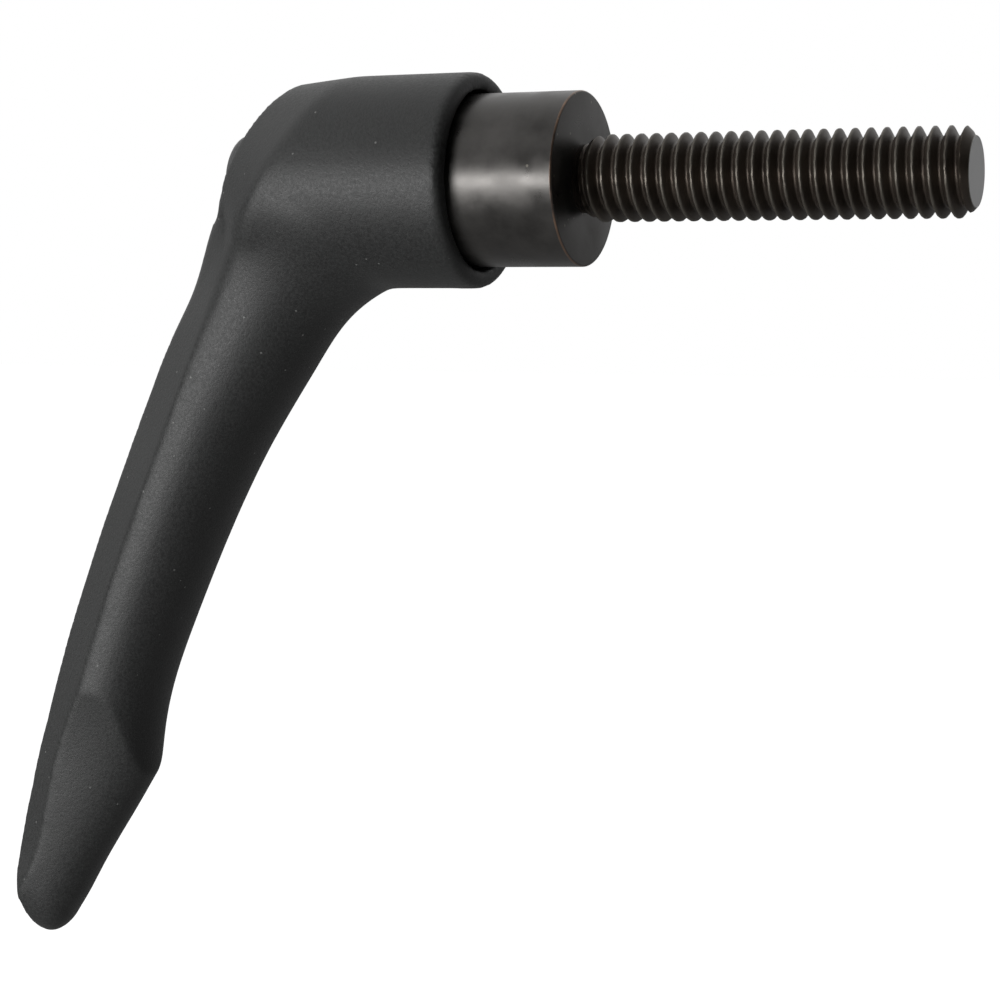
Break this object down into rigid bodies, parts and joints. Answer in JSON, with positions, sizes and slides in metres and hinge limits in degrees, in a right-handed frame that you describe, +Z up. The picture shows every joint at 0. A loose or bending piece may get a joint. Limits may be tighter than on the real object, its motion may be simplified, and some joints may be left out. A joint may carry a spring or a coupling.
{
  "type": "adjustable clamping lever",
  "caption": "Ratcheting clamp handle: black cast lever on a steel collar with a threaded stud; pull it out against its spring to turn it to a new position.",
  "frame": {"origin": "centre of the collar's end face, where the stud leaves it", "axes": "+X along the stud, away from the lever; +Z up, opposite to the side that the arm hangs on; the arm lies in the XZ plane and leans back towards -X"},
  "size_m": [0.0983, 0.02, 0.0863],
  "materials": {
    "lever_coating": "matt, fine grained",
    "collar_steel": "black oxide, satin",
    "stud_steel": "black oxide",
    "screw_steel": "black oxide",
    "spring_steel": "plain"
  },
  "bodies": {
    "insert": {"serrated_insert": "collar_steel", "threaded_stud": "stud_steel", "retaining_screw": "screw_steel"},
    "spring": {"return_spring": "spring_steel"},
    "handle": {"lever_handle": "lever_coating"}
  },
  "joints": [
    {"name": "handle_index", "type": "hinge", "parent": "insert", "child": "spring", "pos_m": [0, 0, 0], "axis": [1, 0, 0], "continuous": true},
    {"name": "handle_lift", "type": "slide", "parent": "spring", "child": "handle", "axis": [-1, 0, 0], "range_m": [0, 0.0042], "stiffness_N_per_m": 2500, "springref_m": -0.003, "deforming": ["return_spring"]}
  ]
}
